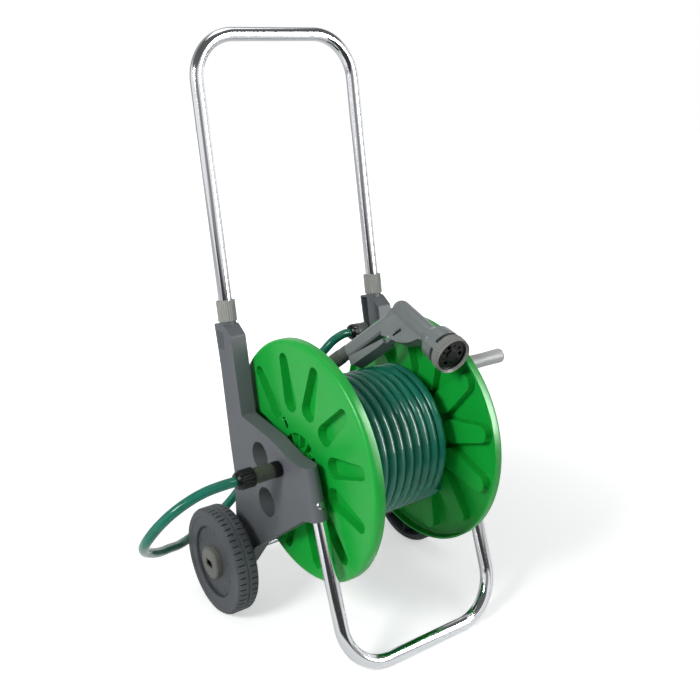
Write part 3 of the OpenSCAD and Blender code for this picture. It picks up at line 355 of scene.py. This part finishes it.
for finish, names in FINISH.items():
    for name in names:
        node = nodes[name]
        node.data.materials.clear()
        node.data.materials.append(finish)
        for face in node.data.polygons:
            face.use_smooth = True
            face.material_index = 0
        weld = node.modifiers.new("weld", "WELD")
        weld.merge_threshold = WELD_REACH
        split = node.modifiers.new("crease", "EDGE_SPLIT")
        split.split_angle = CREASE_ANGLE


# Floor, light and background. Directions are level, and point from the cart to what its metal mirrors
DARK_FRONT, DARK_CAMERA = (-0.375, -0.927, 0), (-0.585, -0.811, 0)
SIDE_FLAGS = ((0.743, -0.669, 0), (-0.407, 0.914, 0))
FLOOR_RADIUS, FLOOR_WHITE = 9, (0.86, 0.86, 0.86, 1)


def toward(tree, level, way, start, end, most=1.0):
    """How far a level direction lies toward a way: 0 at the start's cosine, most at the end's."""
    cosine = add(tree, "VectorMath", {0: level, 1: way}, operation="DOT_PRODUCT").outputs["Value"]
    return add(tree, "MapRange", {0: cosine, 1: start, 2: end, 3: 0.0, 4: most}).outputs[0]


def add_floor():
    """A white floor that keeps the shadow, and is dark in mirrors far in front."""
    bm = bmesh.new()
    bmesh.ops.create_circle(bm, cap_ends=True, segments=96, radius=FLOOR_RADIUS)
    mesh = bpy.data.meshes.new("floor")
    bm.to_mesh(mesh)
    floor = keep("floor", mesh)
    made, tree, shader = material("floor")
    shader.inputs["Base Color"].default_value = FLOOR_WHITE
    shader.inputs["Roughness"].default_value = 0.9
    path = add(tree, "LightPath")
    mirrored = maths(tree, "MULTIPLY", path.outputs["Is Glossy Ray"], 0.25)
    seen = maths(tree, "ADD", path.outputs["Is Camera Ray"], mirrored)
    place = add(tree, "TexCoord").outputs["Object"]
    away = add(tree, "VectorMath", {0: place}, operation="LENGTH").outputs["Value"]
    lift = add(tree, "MapRange", {0: away, 1: 0.3, 2: 1.6, 3: 0.5, 4: 1.1},
               interpolation_type="SMOOTHSTEP").outputs[0]
    glow = add(tree, "Emission", {"Color": (1, 1, 1, 1), "Strength": maths(tree, "MULTIPLY", seen, lift)})
    both = add(tree, "AddShader", {0: shader.outputs[0], 1: glow.outputs[0]})
    level = add(tree, "VectorMath", {0: place}, operation="NORMALIZE").outputs[0]
    width = toward(tree, level, DARK_FRONT, 0.6, 0.72)
    reach = add(tree, "MapRange", {0: away, 1: 0.6, 2: 0.8}).outputs[0]
    unlit = maths(tree, "MULTIPLY", maths(tree, "MULTIPLY", width, reach), path.outputs["Is Glossy Ray"])
    studio_edge = add(tree, "Emission", {"Color": (1, 1, 1, 1), "Strength": 0.05})
    final = add(tree, "MixShader", {0: unlit, 1: both.outputs[0], 2: studio_edge.outputs[0]})
    tree.links.new(final.outputs[0], tree.nodes["Material Output"].inputs["Surface"])
    mesh.materials.append(made)


def add_lamp(name, place, aim, size, power, matt=True, gloss=True):
    """A rectangular lamp, seen by matt surfaces, glossy ones or both."""
    data = bpy.data.lights.new(name, "AREA")
    data.shape = "RECTANGLE"
    data.size, data.size_y = size
    data.energy = power
    lamp = keep(name, data)
    lamp.location = place
    lamp.rotation_euler = (Vector(aim) - Vector(place)).to_track_quat("-Z", "Y").to_euler()
    lamp.visible_diffuse = matt
    lamp.visible_glossy = gloss


def add_world():
    """White to the camera, a studio with dark flags to metal, and a soft fill for the rest."""
    world = bpy.data.worlds.new("studio")
    bpy.context.scene.world = world
    world.use_nodes = True
    tree = world.node_tree
    place = add(tree, "TexCoord").outputs["Generated"]
    direct = add(tree, "SeparateXYZ", {0: place})
    flat = add(tree, "VectorMath", {0: place, 1: (1, 1, 0)}, operation="MULTIPLY").outputs[0]
    level = add(tree, "VectorMath", {0: flat}, operation="NORMALIZE").outputs[0]
    dark = toward(tree, level, DARK_CAMERA, 0.86, 0.97, 0.72)
    for flag in SIDE_FLAGS:
        dark = maths(tree, "MAXIMUM", dark, toward(tree, level, flag, 0.93, 0.985, 0.7))
    wide = toward(tree, level, DARK_FRONT, 0.6, 0.72, 0.95)
    low = add(tree, "MapRange", {0: direct.outputs[2], 1: 0.06, 2: 0.1, 3: 1.0, 4: 0.0}).outputs[0]
    dark = maths(tree, "MAXIMUM", dark, maths(tree, "MULTIPLY", wide, low))
    high = add(tree, "MapRange", {0: direct.outputs[2], 1: 0.38, 2: 0.52, 3: 0.0, 4: 0.88}).outputs[0]
    behind = add(tree, "MapRange", {0: direct.outputs[1], 1: 0.3, 2: 0.5, 3: 1.0, 4: 0.6}).outputs[0]
    dark = maths(tree, "MAXIMUM", dark, maths(tree, "MULTIPLY", high, behind))
    studio = maths(tree, "SUBTRACT", 1.0, dark)
    path = add(tree, "LightPath")
    shown = add(tree, "Background", {"Color": (1, 1, 1, 1), "Strength": 1.0})
    mirror = add(tree, "Background", {"Color": (1, 1, 1, 1), "Strength": studio})
    ambient = add(tree, "Background", {"Color": (0.96, 0.98, 1, 1), "Strength": 0.24})
    glossy = path.outputs["Is Glossy Ray"]
    inside = add(tree, "MixShader", {0: glossy, 1: ambient.outputs[0], 2: mirror.outputs[0]})
    seen = maths(tree, "MAXIMUM", path.outputs["Is Camera Ray"], path.outputs["Is Transmission Ray"])
    final = add(tree, "MixShader", {0: seen, 1: inside.outputs[0], 2: shown.outputs[0]})
    tree.links.new(final.outputs[0], tree.nodes["World Output"].inputs["Surface"])


add_floor()
add_world()
add_lamp("key", (-2.1, -0.5, 1.7), (0, 0, 0.35), (0.7, 0.7), 39)
add_lamp("front", (0.5, -1.9, 1.4), (0, -0.1, 0.3), (1, 1), 7.5, gloss=False)
add_lamp("softbox", (0.74, -0.95, 0.85), (0, -0.15, 0.33), (0.4, 1.2), 38, matt=False)
add_lamp("top", (0.3, 0.4, 2.8), (0, 0, 0.4), (1.4, 1.4), 8)
bpy.context.scene.view_settings.view_transform = "Standard"
